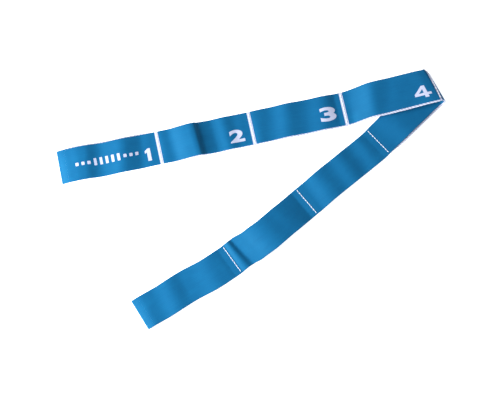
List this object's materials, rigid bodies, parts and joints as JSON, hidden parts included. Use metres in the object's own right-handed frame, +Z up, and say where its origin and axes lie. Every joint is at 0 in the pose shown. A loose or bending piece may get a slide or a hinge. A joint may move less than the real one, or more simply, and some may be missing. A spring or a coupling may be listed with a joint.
{
  "type": "stretching strap",
  "caption": "Flat elastic strap cross-sewn into a row of hand and foot loops, resting folded in half in a V.",
  "frame": {"origin": "centre of the folded strap's footprint, on the surface it lies on", "axes": "+Z up from the surface; +X towards the fold, along the length of the printed half; +Y across, from the lower half towards the printed half"},
  "size_m": [0.4705, 0.3181, 0.0144],
  "materials": {
    "webbing_front": "satin woven elastic, printed face",
    "webbing_back": "satin woven elastic, plain face",
    "webbing_fold": "satin woven elastic, folded end",
    "sewn_web": "white woven cross stripe",
    "seam_thread": "white polyester sewing thread"
  },
  "bodies": {
    "loop_5": {"loop_5_front": "webbing_front", "loop_5_back": "webbing_back"},
    "loop_4": {"loop_4_front": "webbing_front", "loop_4_back": "webbing_back", "seam_4_5": "sewn_web", "seam_4_5_thread": "seam_thread"},
    "join_5_6": {"seam_5_6": "sewn_web", "seam_5_6_thread": "seam_thread"},
    "loop_6": {"loop_6_front": "webbing_front", "loop_6_back": "webbing_back"},
    "join_6_7": {"seam_6_7": "sewn_web", "seam_6_7_thread": "seam_thread"},
    "loop_7": {"loop_7_front": "webbing_front", "loop_7_back": "webbing_back"},
    "join_7_8": {"seam_7_8": "sewn_web", "seam_7_8_thread": "seam_thread"},
    "loop_8": {"loop_8_front": "webbing_front", "loop_8_back": "webbing_back"},
    "tip_8": {"end_fold_8": "webbing_fold"},
    "join_3_4": {"seam_3_4": "sewn_web", "seam_3_4_thread": "seam_thread"},
    "loop_3": {"loop_3_front": "webbing_front", "loop_3_back": "webbing_back"},
    "join_2_3": {"seam_2_3": "sewn_web", "seam_2_3_thread": "seam_thread"},
    "loop_2": {"loop_2_front": "webbing_front", "loop_2_back": "webbing_back"},
    "join_1_2": {"seam_1_2": "sewn_web", "seam_1_2_thread": "seam_thread"},
    "loop_1": {"loop_1_front": "webbing_front", "loop_1_back": "webbing_back"},
    "tip_1": {"end_fold_1": "webbing_fold"}
  },
  "joints": [
    {"name": "fold_4_5", "type": "hinge", "parent": "loop_5", "child": "loop_4", "pos_m": [0.22548, 0.141, 0.0072], "axis": [-0.4802, 0.8771, 0], "range_deg": [0, 175]},
    {"name": "stretch_5", "type": "slide", "parent": "loop_5", "child": "join_5_6", "axis": [-0.7133, -0.7009, 0], "range_m": [0, 0.05], "stiffness_N_per_m": 1300},
    {"name": "flex_5_6", "type": "hinge", "parent": "join_5_6", "child": "loop_6", "pos_m": [0.14993, 0.06962, 0.0012], "axis": [-0.6794, 0.7337, 0], "range_deg": [-135, 135]},
    {"name": "stretch_6", "type": "slide", "parent": "loop_6", "child": "join_6_7", "axis": [-0.7536, -0.6574, 0], "range_m": [0, 0.05], "stiffness_N_per_m": 1300},
    {"name": "flex_6_7", "type": "hinge", "parent": "join_6_7", "child": "loop_7", "pos_m": [0.06365, -0.00565, 0.0012], "axis": [0.6394, -0.7688, 0], "range_deg": [-135, 135]},
    {"name": "stretch_7", "type": "slide", "parent": "loop_7", "child": "join_7_8", "axis": [-0.7837, -0.6211, 0], "range_m": [0, 0.05], "stiffness_N_per_m": 1300},
    {"name": "flex_7_8", "type": "hinge", "parent": "join_7_8", "child": "loop_8", "pos_m": [-0.02609, -0.07677, 0.0012], "axis": [-0.5736, 0.8192, 0], "range_deg": [-135, 135]},
    {"name": "stretch_8", "type": "slide", "parent": "loop_8", "child": "tip_8", "axis": [-0.8517, -0.524, 0], "range_m": [0, 0.05], "stiffness_N_per_m": 1300},
    {"name": "stretch_4", "type": "slide", "parent": "loop_4", "child": "join_3_4", "axis": [-0.9748, -0.2233, 0], "range_m": [0, 0.05], "stiffness_N_per_m": 1300},
    {"name": "flex_3_4", "type": "hinge", "parent": "join_3_4", "child": "loop_3", "pos_m": [0.10817, 0.11204, 0.0012], "axis": [0.2156, -0.9765, 0], "range_deg": [-135, 135]},
    {"name": "stretch_3", "type": "slide", "parent": "loop_3", "child": "join_2_3", "axis": [-0.9781, -0.2079, 0], "range_m": [0, 0.05], "stiffness_N_per_m": 1300},
    {"name": "flex_2_3", "type": "hinge", "parent": "join_2_3", "child": "loop_2", "pos_m": [-0.00383, 0.08823, 0.0012], "axis": [-0.2122, 0.9772, 0], "range_deg": [-135, 135]},
    {"name": "stretch_2", "type": "slide", "parent": "loop_2", "child": "join_1_2", "axis": [-0.9763, -0.2164, 0], "range_m": [0, 0.05], "stiffness_N_per_m": 1300},
    {"name": "flex_1_2", "type": "hinge", "parent": "join_1_2", "child": "loop_1", "pos_m": [-0.11562, 0.06345, 0.0012], "axis": [0.2053, -0.9787, 0], "range_deg": [-135, 135]},
    {"name": "stretch_1", "type": "slide", "parent": "loop_1", "child": "tip_1", "axis": [-0.981, -0.1942, 0], "range_m": [0, 0.05], "stiffness_N_per_m": 1300}
  ]
}
